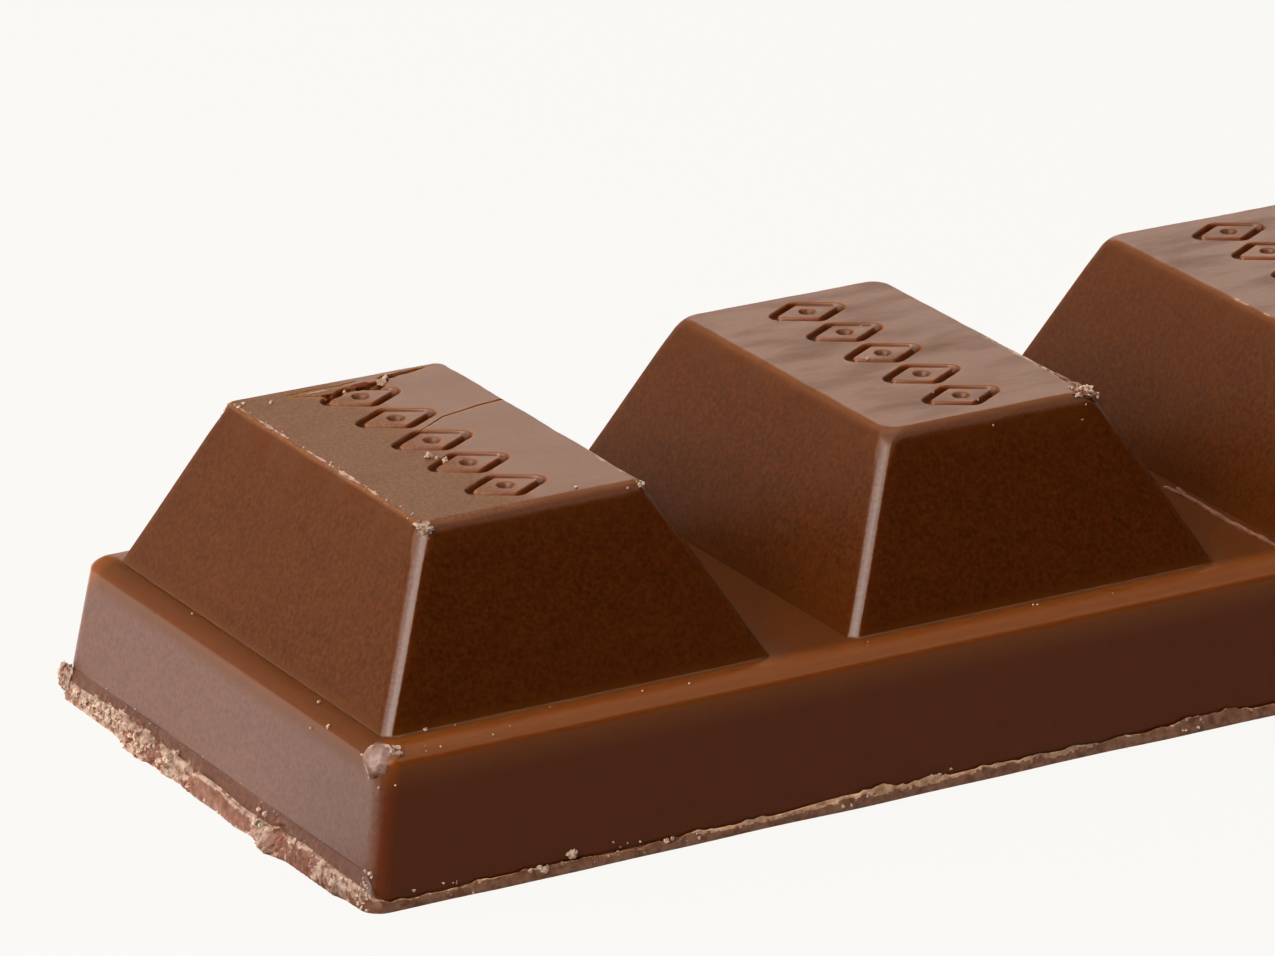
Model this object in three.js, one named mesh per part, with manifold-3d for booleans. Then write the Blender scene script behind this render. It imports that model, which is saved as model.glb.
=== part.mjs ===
// A moulded bar of milk chocolate: a drafted slab that carries a row of tall chunks.
// Millimetres, +Z up, +X along the bar. The origin is the middle of the underside.
import * as THREE from 'three';
import { mergeVertices } from 'three/addons/utils/BufferGeometryUtils.js';
import Module from 'manifold-3d';

// The row of chunks
const CHUNK_COUNT = 6;
const PITCH = 25;

// One chunk: its foot on the slab, its crown, and how far the crown leans off the middle
const CHUNK_RISE = 8.45;
const CHUNK_FOOT = { x: 20.6, y: 26.6 };
const CROWN = { x: 11.8, y: 19.4 };
const CROWN_LEAN = { x: -0.34, y: 0.16 };
const CHUNK_EDGE_RADIUS = 0.7;
const CROWN_EDGE_RADIUS = 0.4;
const CHUNK_SINK = 0.5;

// The slab: wider and longer at its foot, so that it leaves the mould
const SLAB_DEPTH = 7.4;
const SLAB_FOOT = { x: 149.8, y: 31.3 };
const SLAB_TOP = { x: 147.4, y: 29.8 };
const SLAB_CORNER_RADIUS = 0.95;
const SLAB_RIM_RADIUS = 1.25;
const CROWN_HEIGHT = SLAB_DEPTH + CHUNK_RISE;

// The flash: the ragged lip of overpoured chocolate round the foot of the slab
const FLASH_ROOT = 0.75;
const FLASH_END = { reach: 0.9, height: 1.4, step: 0.6 };
const FLASH_SIDE = { reach: 0.22, height: 0.65, step: 1.2, atCorners: 0.5 };

// How the flash goes along an end of the bar: distances from one corner, and shares of its reach
const END_COURSE = [
  [0, 0.1], [5, 0.12], [6, 0.35], [7, 0.7], [8.3, 0.78], [9.7, 0.46], [11, 0.55], [11.6, 0.38],
  [13, 0.54], [16, 0.48], [18, 0.62], [19, 0.48], [20, 0.54], [21, 1], [21.6, 1], [22.8, 0.5],
  [27.4, 0.44], [28.2, 0.14], [29.5, 0.1],
];

// The flash's outer face from the foot up: shares of its reach and of its height
const FLASH_FACE = [[0.7, 0], [1, 0.22], [0.8, 0.55], [0.25, 0.85]];

// The ornament pressed into each crown: a row of lozenge outlines, each round a pit
const LOZENGE_COUNT = 5;
const LOZENGE_PITCH = 3.5;
const LOZENGE = { x: 4.5, y: 2.7 };
const GROOVE_WIDTH = 0.42;
const GROOVE_FLOOR_WIDTH = 0.26;
const GROOVE_DEPTH = 0.32;
const PIT_RADIUS = 0.38;
const PIT_TAPER = 0.6;
const PIT_SIDES = 10;

// Wear: the first crown's crumbled back edge, two knocked crown corners, and a smear.
// A corner's x and y say which way it lies from the middle of its crown.
const WORN_EDGE = { start: -4.5, end: 4.4, bites: 8, size: 0.8, wander: 0.35 };
const BITE_SHAPE = { x: 1.1, y: 0.6, z: 0.45 };
const KNOCKED_CORNERS = [
  { chunk: 0, x: -1, y: -1, size: 0.42 },
  { chunk: 1, x: 1, y: -1, size: 0.55 },
];
const KNOCK_LIFT = 0.15;
const SMEAR_SHAPE = { x: 0.75, y: 0.62, z: 0.4 };
const SMEAR_SETBACK = { x: 0.35, y: 0.55, z: 0.35 };
const CRUMB_SWELL = { least: 0.75, range: 0.5 };

const CORNER_STEPS = 3;
const ROUNDING_STEPS = 3;

const milkChocolate = new THREE.MeshStandardMaterial({
  color: 0x6b3f28,
  roughness: 0.42,
  metalness: 0,
  flatShading: true,
});

const wasm = await Module();
wasm.setup();

// A repeatable random sequence between 0 and 1
function randomSequence(seed) {
  let state = seed;
  return () => {
    state = (state * 16807) % 2147483647;
    return state / 2147483647;
  };
}

// A closed body through rings of points: capped at both ends, or joined end to end
function skin(rings, endless = false) {
  const count = rings[0].length;
  const positions = rings.flat().flatMap((point) => [point.x, point.y, point.z]);
  const index = [];
  const bands = endless ? rings.length : rings.length - 1;
  for (let band = 0; band < bands; band += 1) {
    const low = band * count;
    const high = ((band + 1) % rings.length) * count;
    for (let i = 0; i < count; i += 1) {
      const next = (i + 1) % count;
      index.push(low + i, low + next, high + next, low + i, high + next, high + i);
    }
  }
  if (!endless) {
    const last = (rings.length - 1) * count;
    for (let i = 1; i < count - 1; i += 1) {
      index.push(0, i + 1, i, last, last + i, last + i + 1);
    }
  }
  const geometry = new THREE.BufferGeometry();
  geometry.setAttribute('position', new THREE.Float32BufferAttribute(positions, 3));
  geometry.setIndex(index);
  return geometry;
}

// A rectangle with round corners, counterclockwise seen from above
function roundedRectangle(halfX, halfY, radius, z, centre = { x: 0, y: 0 }) {
  const points = [];
  for (let corner = 0; corner < 4; corner += 1) {
    const signX = corner === 0 || corner === 3 ? 1 : -1;
    const signY = corner < 2 ? 1 : -1;
    for (let step = 0; step <= CORNER_STEPS; step += 1) {
      const angle = (corner + step / CORNER_STEPS) * Math.PI / 2;
      points.push(new THREE.Vector3(
        centre.x + signX * (halfX - radius) + radius * Math.cos(angle),
        centre.y + signY * (halfY - radius) + radius * Math.sin(angle),
        z,
      ));
    }
  }
  return points;
}

// A block that tapers from its foot to its top, with a rounded top edge.
// sink carries its walls on below the foot.
function taperedBlock({ foot, top, rise, lean, cornerRadius, rimRadius, sink, base }) {
  const taper = { x: (foot.x - top.x) / 2, y: (foot.y - top.y) / 2 };
  const section = (height, inset, radius) => {
    const share = height / rise;
    return roundedRectangle(
      foot.x / 2 - taper.x * share - inset,
      foot.y / 2 - taper.y * share - inset,
      radius,
      base + height,
      { x: lean.x * share, y: lean.y * share },
    );
  };
  const tilt = Math.atan((taper.x + taper.y) / 2 / rise);
  const rings = [section(-sink, 0, cornerRadius)];
  for (let step = 0; step <= ROUNDING_STEPS; step += 1) {
    const angle = tilt + (Math.PI / 2 - tilt) * step / ROUNDING_STEPS;
    const drop = rimRadius * (1 - Math.sin(angle));
    const back = rimRadius * ((1 - Math.sin(tilt)) / Math.cos(tilt) - Math.cos(angle));
    const inset = Math.max(0, back - drop * Math.tan(tilt));
    rings.push(section(rise - drop, inset, Math.max(cornerRadius - inset, cornerRadius / 3)));
  }
  return skin(rings);
}

// Where the middle of a chunk's foot lies along the bar
function chunkMiddle(index) {
  return (index - (CHUNK_COUNT - 1) / 2) * PITCH;
}

function slab() {
  return taperedBlock({
    foot: SLAB_FOOT,
    top: SLAB_TOP,
    rise: SLAB_DEPTH,
    lean: { x: 0, y: 0 },
    cornerRadius: SLAB_CORNER_RADIUS,
    rimRadius: SLAB_RIM_RADIUS,
    sink: 0,
    base: 0,
  });
}

function chunk(middleX) {
  const block = taperedBlock({
    foot: CHUNK_FOOT,
    top: CROWN,
    rise: CHUNK_RISE,
    lean: CROWN_LEAN,
    cornerRadius: CHUNK_EDGE_RADIUS,
    rimRadius: CROWN_EDGE_RADIUS,
    sink: CHUNK_SINK,
    base: SLAB_DEPTH,
  });
  return block.translate(middleX, 0, 0);
}

// The way round the foot of the slab: points on its wall, with the outward direction
function footStations() {
  const halfX = SLAB_FOOT.x / 2 - SLAB_CORNER_RADIUS;
  const halfY = SLAB_FOOT.y / 2 - SLAB_CORNER_RADIUS;
  const sides = [
    { x: halfX, y: -halfY, turn: 0, length: 2 * halfY, size: FLASH_END },
    { x: halfX, y: halfY, turn: 1, length: 2 * halfX, size: FLASH_SIDE },
    { x: -halfX, y: halfY, turn: 2, length: 2 * halfY, size: FLASH_END },
    { x: -halfX, y: -halfY, turn: 3, length: 2 * halfX, size: FLASH_SIDE },
  ];
  const stations = [];
  for (const side of sides) {
    const angle = side.turn * Math.PI / 2;
    const outward = new THREE.Vector3(Math.cos(angle), Math.sin(angle), 0);
    const along = new THREE.Vector3(-Math.sin(angle), Math.cos(angle), 0);
    const steps = Math.round(side.length / side.size.step);
    for (let i = 0; i <= steps; i += 1) {
      const share = i / steps;
      const distance = side.length * share;
      const point = new THREE.Vector3(side.x, side.y, 0)
        .addScaledVector(along, distance)
        .addScaledVector(outward, SLAB_CORNER_RADIUS);
      stations.push({ point, outward, distance, share, size: side.size });
    }
  }
  return stations;
}

// How full the flash is, from 0 to 1, at a distance along one side of the foot
function flashFullness(distance) {
  const waves = 0.5 * Math.sin(distance / 3.1 + 5.2)
    + 0.35 * Math.sin(distance / 1.37 + 2.2)
    + 0.3 * Math.sin(distance / 7.3 + 0.4);
  return Math.min(1, Math.max(0.3, 0.7 + 0.5 * waves));
}

// The share of its reach that the flash has at a distance along an end of the bar
function endShare(distance) {
  const next = Math.max(1, END_COURSE.findIndex(([place]) => place >= distance));
  const [[from, low], [to, high]] = [END_COURSE[next - 1], END_COURSE[next]];
  return low + (high - low) * (distance - from) / (to - from);
}

// Along a side the flash is slight at the corners of the slab and fullest between them
function sideShare(distance, share) {
  const { atCorners } = FLASH_SIDE;
  const swell = atCorners + (1 - atCorners) * Math.sqrt(Math.sin(Math.PI * share));
  return Math.min(1, 1.1 * swell * flashFullness(distance));
}

function flash() {
  const rings = footStations().map(({ point, outward, distance, share, size }) => {
    const shareOfReach = size === FLASH_END ? endShare(distance) : sideShare(distance, share);
    const reach = size.reach * shareOfReach;
    const height = size.height * (0.5 + 0.5 * flashFullness(distance + size.height));
    const face = FLASH_FACE.map(([out, up]) => [reach * out, height * up]);
    const profile = [[-FLASH_ROOT, 0], ...face, [-FLASH_ROOT, height]];
    return profile.map(([out, z]) => point.clone().addScaledVector(outward, out).setZ(z));
  });
  return skin(rings.reverse(), true);
}

// The four corners of a lozenge at one height
function lozengeRing(halfX, halfY, z) {
  return [[1, 0], [0, 1], [-1, 0], [0, -1]].map(([x, y]) => (
    new THREE.Vector3(x * halfX, y * halfY, z)
  ));
}

// A tapered lozenge plug that grows by a margin at the crown and at the groove's floor
function lozengePlug(growAtCrown, growAtFloor, top) {
  const slope = Math.hypot(LOZENGE.x, LOZENGE.y);
  const stretch = { x: slope / LOZENGE.y, y: slope / LOZENGE.x };
  const ring = (grow, z) => lozengeRing(
    LOZENGE.x / 2 + grow * stretch.x,
    LOZENGE.y / 2 + grow * stretch.y,
    z,
  );
  const perMillimetre = (growAtCrown - growAtFloor) / GROOVE_DEPTH;
  return skin([
    ring(growAtFloor, -GROOVE_DEPTH),
    ring(growAtCrown + perMillimetre * top, top),
  ]);
}

function pit() {
  const floorRadius = PIT_RADIUS * PIT_TAPER;
  return new THREE.CylinderGeometry(PIT_RADIUS, floorRadius, 2 * GROOVE_DEPTH, PIT_SIDES)
    .rotateX(Math.PI / 2);
}

// A lump of random outline, flattened as its size says
function crumb(size, seed) {
  const random = randomSequence(seed);
  const lump = new THREE.IcosahedronGeometry(1, 0);
  lump.deleteAttribute('normal');
  lump.deleteAttribute('uv');
  const merged = mergeVertices(lump);
  const position = merged.getAttribute('position');
  for (let i = 0; i < position.count; i += 1) {
    const swell = CRUMB_SWELL.least + CRUMB_SWELL.range * random();
    position.setXYZ(
      i,
      position.getX(i) * swell * size.x,
      position.getY(i) * swell * size.y,
      position.getZ(i) * swell * size.z,
    );
  }
  return merged;
}

// A closed geometry as a solid that can be joined and cut
function solid(geometry) {
  const bare = geometry.clone();
  bare.deleteAttribute('normal');
  bare.deleteAttribute('uv');
  const merged = mergeVertices(bare);
  return new wasm.Manifold(new wasm.Mesh({
    numProp: 3,
    vertProperties: merged.getAttribute('position').array,
    triVerts: new Uint32Array(merged.getIndex().array),
  }));
}

function geometryOf(body) {
  const { vertProperties, triVerts } = body.getMesh();
  const geometry = new THREE.BufferGeometry();
  geometry.setAttribute('position', new THREE.BufferAttribute(vertProperties, 3));
  geometry.setIndex(new THREE.BufferAttribute(triVerts, 1));
  geometry.computeVertexNormals();
  return geometry;
}

// Cuts one crown's row of lozenges and pits
function pressOrnament(body, middleX) {
  const half = GROOVE_WIDTH / 2;
  const floorHalf = GROOVE_FLOOR_WIDTH / 2;
  const clearance = 0.1;
  let pressed = body;
  for (let i = 0; i < LOZENGE_COUNT; i += 1) {
    const x = middleX + CROWN_LEAN.x;
    const y = CROWN_LEAN.y + (i - (LOZENGE_COUNT - 1) / 2) * LOZENGE_PITCH;
    const outer = solid(lozengePlug(half, floorHalf, clearance).translate(x, y, CROWN_HEIGHT));
    const island = solid(lozengePlug(-half, -floorHalf, clearance).translate(x, y, CROWN_HEIGHT));
    pressed = pressed.subtract(outer.subtract(island));
    pressed = pressed.subtract(solid(pit().translate(x, y, CROWN_HEIGHT)));
  }
  return pressed;
}

// Crumbles the back edge of the first crown
function crumbleBackEdge(body) {
  const random = randomSequence(11);
  const backY = CROWN_LEAN.y + CROWN.y / 2;
  let worn = body;
  for (let i = 0; i < WORN_EDGE.bites; i += 1) {
    const share = i / (WORN_EDGE.bites - 1);
    const x = chunkMiddle(0) + WORN_EDGE.start + (WORN_EDGE.end - WORN_EDGE.start) * share;
    const size = WORN_EDGE.size * (0.75 + 0.4 * random());
    const shape = { x: size * BITE_SHAPE.x, y: size * BITE_SHAPE.y, z: size * BITE_SHAPE.z };
    const y = backY - WORN_EDGE.wander * random();
    worn = worn.subtract(solid(crumb(shape, 20 + i).translate(x, y, CROWN_HEIGHT)));
  }
  return worn;
}

// Knocks a lump off each corner that shows it
function knockCorners(body) {
  let worn = body;
  KNOCKED_CORNERS.forEach(({ chunk: index, x, y, size }) => {
    const bite = crumb({ x: size, y: size, z: size }, 41 + index);
    bite.translate(
      chunkMiddle(index) + CROWN_LEAN.x + x * CROWN.x / 2,
      CROWN_LEAN.y + y * CROWN.y / 2,
      CROWN_HEIGHT + size * KNOCK_LIFT,
    );
    worn = worn.subtract(solid(bite));
  });
  return worn;
}

// The smear on the slab's near top corner
function smear() {
  return crumb(SMEAR_SHAPE, 57).translate(
    -SLAB_TOP.x / 2 + SLAB_RIM_RADIUS * SMEAR_SETBACK.x,
    -SLAB_TOP.y / 2 + SLAB_RIM_RADIUS * SMEAR_SETBACK.y,
    SLAB_DEPTH - SLAB_RIM_RADIUS * SMEAR_SETBACK.z,
  );
}

function chocolateBar() {
  let body = solid(slab()).add(solid(flash())).add(solid(smear()));
  for (let i = 0; i < CHUNK_COUNT; i += 1) {
    body = body.add(solid(chunk(chunkMiddle(i))));
    body = pressOrnament(body, chunkMiddle(i));
  }
  body = knockCorners(crumbleBackEdge(body));
  const mesh = new THREE.Mesh(geometryOf(body), milkChocolate);
  mesh.name = 'chocolate_bar';
  return mesh;
}

const bar = new THREE.Group();
bar.add(chocolateBar());

export default bar;
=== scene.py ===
"""A chunky bar of milk chocolate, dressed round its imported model, on a pale ground.

Sizes and places are in millimetres in the frame's own axes: +X along the bar, +Z up,
the origin in the middle of the underside. Meshes are made in metres.
"""
import random
from math import atan, atan2, cos, hypot, pi, radians, sin, sqrt, tan

import bmesh
import bpy
import numpy as np
from mathutils import Matrix, Vector, noise
from mathutils.bvhtree import BVHTree


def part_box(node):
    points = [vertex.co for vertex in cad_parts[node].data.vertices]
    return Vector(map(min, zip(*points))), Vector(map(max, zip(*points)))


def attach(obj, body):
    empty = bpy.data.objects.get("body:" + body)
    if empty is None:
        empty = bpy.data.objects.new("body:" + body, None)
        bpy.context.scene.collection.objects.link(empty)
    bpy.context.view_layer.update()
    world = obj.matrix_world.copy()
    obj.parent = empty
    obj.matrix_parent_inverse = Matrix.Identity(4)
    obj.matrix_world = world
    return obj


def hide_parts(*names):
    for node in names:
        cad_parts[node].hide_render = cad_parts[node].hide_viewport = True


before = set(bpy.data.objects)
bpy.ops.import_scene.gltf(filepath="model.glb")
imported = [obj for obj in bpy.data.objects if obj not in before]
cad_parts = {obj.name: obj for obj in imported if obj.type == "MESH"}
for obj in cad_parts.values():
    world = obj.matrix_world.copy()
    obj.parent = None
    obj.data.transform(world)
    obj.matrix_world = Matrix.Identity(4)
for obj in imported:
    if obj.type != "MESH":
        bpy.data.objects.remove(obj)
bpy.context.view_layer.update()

NODE = "chocolate_bar"
MM = 0.001

# The bar: the overall size is the frame's
low, high = (np.array(corner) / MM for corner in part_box(NODE))
SIZE = high - low
CHUNK_COUNT = 6
PITCH = 25.0
FLASH_END_REACH = 0.9
FLASH_SIDE_REACH = 0.22
CHUNK_RISE = 8.45
SLAB_DEPTH = SIZE[2] - CHUNK_RISE
SLAB_FOOT = (SIZE[0] - 2 * FLASH_END_REACH, SIZE[1] - 2 * FLASH_SIDE_REACH)
SLAB_TOP = (SLAB_FOOT[0] - 2.4, SLAB_FOOT[1] - 1.5)
SLAB_CORNER_RADIUS = 0.95
SLAB_RIM_RADIUS = 1.25
CHUNK_FOOT = (20.6, 26.6)
CROWN = (11.8, 19.4)
CROWN_LEAN = (-0.34, 0.16)
FOOT_FILLET = 0.2
CROWN_HEIGHT = SLAB_DEPTH + CHUNK_RISE
CHUNK_MIDDLES = [(i - (CHUNK_COUNT - 1) / 2) * PITCH for i in range(CHUNK_COUNT)]
EDGE_WAVER = 0.05
CORNER_STEPS = 8
CORD_STEP = 0.12

# A crown's sides, its two edges from the back to the near corner, and its corners in turn
LEFT, RIGHT, NEAR, BACK = -1, 1, -1, 1
LEFT_EDGE = ((LEFT, BACK), (LEFT, NEAR))
RIGHT_EDGE = ((RIGHT, BACK), (RIGHT, NEAR))
CORNERS = ((LEFT, NEAR), (RIGHT, NEAR), (RIGHT, BACK), (LEFT, BACK))

# Depths below the crown at which a chunk has rings
RING_DROPS = (6.0, 3.5, 1.6, 1.0, 0.75, 0.6, 0.5, 0.41, 0.33, 0.26, 0.19, 0.13, 0.08, 0.035, 0)
CHUNK_SIDE_STEPS = (30, 48)

# Upright corners of a chunk: leg at the foot and the crown, and how flat the bevel is
CORNER_LEGS = (0.44, 0.47)
CORNER_FLATNESS = 0.78
CROWN_CORNER_RADIUS = 0.9
WORN_CORNER_RADIUS = 0.5

# Roundings below the crown: radius, and the slope at which it meets the crown, in degrees
ROUNDINGS = {"left": (0.75, 10), "right": (0.7, 15), "near": (1.05, 20), "back": (0.7, 15)}
WORN_ROUNDINGS = {"left": (0.25, 15), "right": (0.6, 15), "near": (0.95, 12), "back": (0.6, 15)}

# The first crown's wear: a trench and a crack along its back edge, with hollows and flakes
BACK_TRENCH = ((-65.9, 8.85), (-64.4, 8.05), (-63.1, 8.05), (-61.0, 8.56), (-60.6, 9.0),
               (-59.3, 9.07), (-58.0, 9.3))
BACK_CRACK = ((-65.9, 8.9), (-64.5, 9.1), (-63.1, 8.98), (-61.9, 9.2))
BACK_HOLLOWS = (((-63.9, 7.95, -0.02), (1.25, 0.8, 0.8)), ((-62.0, 8.3, -0.02), (2.0, 1.1, 1.0)),
                ((-60.3, 9.0, -0.02), (1.1, 0.6, 0.6)))
BACK_FLAKES = (
    ((-60.95, 8.45, -0.03), (0.55, 0.3, 0.34)), ((-60.1, 9.25, -0.03), (0.6, 0.16, 0.16)),
    ((-59.4, 9.3, -0.03), (0.7, 0.14, 0.14)), ((-58.6, 9.42, -0.03), (0.6, 0.13, 0.12)),
    ((-63.2, 8.1, -0.03), (0.16, 0.16, 0.2)), ((-64.4, 8.72, -0.03), (1.1, 0.16, 0.12)),
)

# The step in the wall behind the flash: heights, and how far in the wall lies
END_STEP = ((0.0, 0.05), (1.7, 0.05), (1.8, 0.0))
SIDE_STEP = ((0.0, 0.03), (0.55, 0.03), (0.7, 0.0))

# The flash round the foot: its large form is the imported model's
FLASH_ROOT = 0.75
FLASH_END = {"reach": FLASH_END_REACH, "height": 1.22, "ledge": 1.7, "step": 0.085}
FLASH_SIDE = {"reach": FLASH_SIDE_REACH, "height": 0.78, "step": 0.17}
FLASH_LEAN = 0.16

# How the flash goes along an end of the bar: distances from one corner, and shares of its reach
END_COURSE = (
    (0, 0.1), (5, 0.12), (6, 0.35), (7, 0.7), (8.3, 0.78), (9.7, 0.46), (11, 0.55), (11.6, 0.38),
    (13, 0.54), (16, 0.48), (18, 0.62), (19, 0.48), (20, 0.54), (21, 1), (21.6, 1), (22.8, 0.5),
    (27.4, 0.44), (28.2, 0.14), (29.5, 0.1),
)

# Lips where the flash along the sides stands full: middle and half length, and the least share
SIDE_LIPS = ((-46.5, 13.0), (8.0, 15.0), (52.0, 10.0))
LIP_LEAST = 0.75

# Across the worn end: the smooth band and the cavity, and the hole's place and size
SMOOTH_BAND = (-4.6, 1.8)
CAVITY = -6.9
FLASH_HOLE = ((-75.62, -7.25, 0.66), (0.7, 0.65, 0.6))

# Size of the flash's lumps, how pale (from crumbs and from painted highlight) makes it take the
# pale finish, and its gap to the frame's box
FLASH_LUMP = 0.38
PALE_FROM = 0.65
BOX_GAP = 0.004

# The ornament pressed into each crown
LOZENGE_COUNT = 5
LOZENGE_PITCH = 3.5
LOZENGE = (4.5, 2.7)
LOZENGE_CORNER = 0.4

# Finishes of the chocolate, in the order of the material slots
SKIN, RUBBED, BROKEN, SMEARED, CRUMBLED, SIDE_LIT_RUBBED, SIDE_LIT_BROKEN = range(7)
finishes = []

# Lumps, each with place and size: on the first two crowns' near corners, and on the smear
CORNER_CAP = (((0.1, 0.12, -0.14), (0.55, 0.25, 0.16)), ((0.3, 0.0, -0.24), (0.4, 0.25, 0.16)),
              ((-0.1, 0.3, -0.12), (0.2, 0.6, 0.12)), ((0.12, 0.0, -0.4), (0.3, 0.25, 0.4)),
              ((0.34, -0.08, -0.4), (0.16, 0.16, 0.3)))
FLAKY_CORNER = (((-0.45, 0.5, -0.03), (0.9, 0.7, 0.14)), ((-0.25, 1.3, -0.05), (0.4, 1.2, 0.16)),
                ((-0.8, 0.35, -0.04), (0.8, 0.35, 0.12)), ((-0.25, 0.2, -0.2), (0.7, 0.6, 0.3)),
                ((-0.22, 2.5, -0.06), (0.26, 1.4, 0.12)), ((-0.6, 1.1, 0.0), (0.3, 0.4, 0.1)),
                ((-0.05, 0.2, -0.5), (0.45, 0.5, 0.45)), ((-0.1, 0.7, -0.3), (0.35, 0.7, 0.3)))
SMEAR_PLACE = (-73.54, -14.1, 6.83)
SMEAR_FACING = (-0.6, -0.55, 0.58)
SMEAR_SIZE = (1.55, 1.6, 0.76)
SMEAR_FLAKES = (((0.1, 0.62, 0.12), (0.65, 0.24, 0.18)), ((0.5, 0.42, 0.12), (0.45, 0.36, 0.2)),
                ((-0.4, 0.5, 0.1), (0.4, 0.2, 0.16)), ((0.85, 0.4, 0.05), (0.4, 0.3, 0.2)),
                ((0.72, 0.68, 0.04), (0.4, 0.2, 0.16)), ((-0.62, 0.1, 0.06), (0.12, 0.4, 0.1)))

# The swirl mark on the slab's end: reach across and swing of the slope of each ring
SWIRL = ((0.95, 0.42), (0.55, 0.24))

# Thin ridges in the second valley: course from beside its middle, radius, seed, roughness, patches
VALLEY_RIDGES = (
    (((0, -3.2), (0.15, -6), (-0.05, -9), (0.1, -13.1)), 0.17, 53, 0.35, 0.3),
    (((0.5, -3.6), (0.1, -5.4)), 0.1, 54, 0.5, 0),
)

# Crumbs near each end: count, sizes, distances in from the end, places across, and heights
END_CRUMBS = (
    (80, (0.09, 0.3), (0, 0.75), (-2.5, -14.6), (0.4, 1.4)),
    (26, (0.09, 0.24), (0.2, 0.7), (4.3, 5.6), (0.8, 1.5)),
    (26, (0.07, 0.16), (0.3, 0.9), (8.0, 13.5), (0.8, 1.4)),
    (30, (0.06, 0.14), (0, 0.1), (-13, 6), (0.05, 0.4)),
    (16, (0.05, 0.1), (0.9, 1.1), (-14, 14), (1.6, 1.9)),
    (34, (0.09, 0.22), (0.8, 1.2), (14.4, 15.3), (0.1, 1.9)),
)

# Groups of crumbs on the flash along the sides: the middle of each, and its count
SIDE_CRUMBS = ((-70.3, 5), (-66, 3), (-62.6, 7), (-61.2, 8), (-57.8, 5), (-49, 6), (-44, 5),
               (-30, 6), (-12, 7), (3, 6), (20, 8), (37, 6), (55, 7), (69, 6))

# Crumbs that lie where the photograph shows them: place and size
PLACED_CRUMBS = (
    (-60.7, 8.6, 15.8, 0.3), (-64.1, -1.8, 15.85, 0.32), (-63.7, -2.7, 15.85, 0.3),
    (-63.9, -2.2, 15.85, 0.2), (-60.2, -8.8, 15.85, 0.16), (-68.6, 8.6, 15.8, 0.18),
    (-68.2, 8.9, 15.8, 0.16), (-67.0, 8.4, 15.8, 0.16), (-36.6, 4.2, 15.85, 0.13),
    (-38.95, -0.24, 15.85, 0.14), (-38.7, -5.85, 15.85, 0.1), (-37.4, -7.8, 15.85, 0.12),
    (-33.0, -10.6, 15.0, 0.12), (-37.9, -10.1, 15.4, 0.12), (-73.0, 5.2, 7.3, 0.12),
    (-74.5, -8.2, 6.5, 0.13), (-73.1, -7.6, 7.2, 0.18), (-73.8, -9.6, 7.0, 0.17),
    (-70.7, -13.2, 7.4, 0.18), (-70.7, -14.6, 7.0, 0.09), (-69.2, -13.4, 7.5, 0.09),
    (-74.1, -13.0, 6.8, 0.13), (-74.5, -14.1, 5.9, 0.1), (-74.2, -14.8, 5.8, 0.12),
    (-73.3, -15.2, 5.9, 0.1), (-64.3, -15.9, 0.85, 0.42), (-65.9, -15.9, 0.45, 0.34),
    (-64.9, -15.9, 0.6, 0.2), (-66.6, -15.9, 0.6, 0.2), (-59.3, -15.9, 0.7, 0.26),
    (-59.0, -15.9, 0.6, 0.2), (-57.6, -15.9, 0.35, 0.2), (-62.1, -15.9, 1.0, 0.16),
    (-70.4, -15.9, 0.7, 0.16), (-72.6, -15.9, 0.8, 0.14),
)

# Linear colours of the skin. The edge and rim browns are a painted glow, the wall brown a painted
# bounce, the crown brown a painted sheen, and the grey a painted reflection on the end walls
SKIN_BROWNS = ((0.085, 0.023, 0.0011), (0.094, 0.0255, 0.0015))
MOTTLE_BROWN = (0.131, 0.0395, 0.0048)
EDGE_GLOW_BROWN = (0.128, 0.04, 0.0045)
WALL_BOUNCE_BROWN = (0.142, 0.035, 0.0035)
RIM_GLOW_BROWN = (0.2, 0.068, 0.011)
CROWN_SHEEN_BROWN = (0.18, 0.072, 0.021)
WORN_BROWNS = ((0.143, 0.057, 0.0165), (0.218, 0.11, 0.048))
STREAK_BROWN = (0.125, 0.046, 0.01)
END_REFLECTION_GREY = (0.18, 0.11, 0.09)

# Finishes without a skin: name, two linear colours, how they spread, and roughness
DULL_FINISHES = (
    ("rubbed chocolate", (0.152, 0.062, 0.032), (0.236, 0.114, 0.073), (0.35, 0.6), 0.45),
    ("broken chocolate", (0.2, 0.115, 0.077), (0.4, 0.29, 0.228), (0.34, 0.6), 0.6),
    ("smeared chocolate", (0.185, 0.097, 0.066), (0.29, 0.19, 0.155), (0.35, 0.65), 0.4),
    ("chocolate crumbs", (0.23, 0.13, 0.085), (0.46, 0.34, 0.27), (0.3, 0.55), 0.6),
    # The last two are lighter copies of rubbed and broken chocolate for the flash along the sides:
    # painted light
    ("rubbed chocolate lit on the sides", (0.185, 0.09, 0.05), (0.3, 0.168, 0.109), (0.35, 0.6), 0.45),
    ("broken chocolate lit on the sides", (0.33, 0.205, 0.127), (0.57, 0.38, 0.257), (0.34, 0.6), 0.6),
)

# The studio, in metres and degrees: where the lights aim, and the pale ground
LIT_PLACE = (-0.05, 0, 0.008)
BACKGROUND = (0.7, 0.69, 0.675, 1)
FLOOR_REACH = 6.0
FLOOR_GLOW = (0.64, 0.632, 0.617)
FLOOR_ALBEDO = 0.03
GLOW_REACH = 0.8
GLOW_DEPTH = 0.00005

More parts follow.
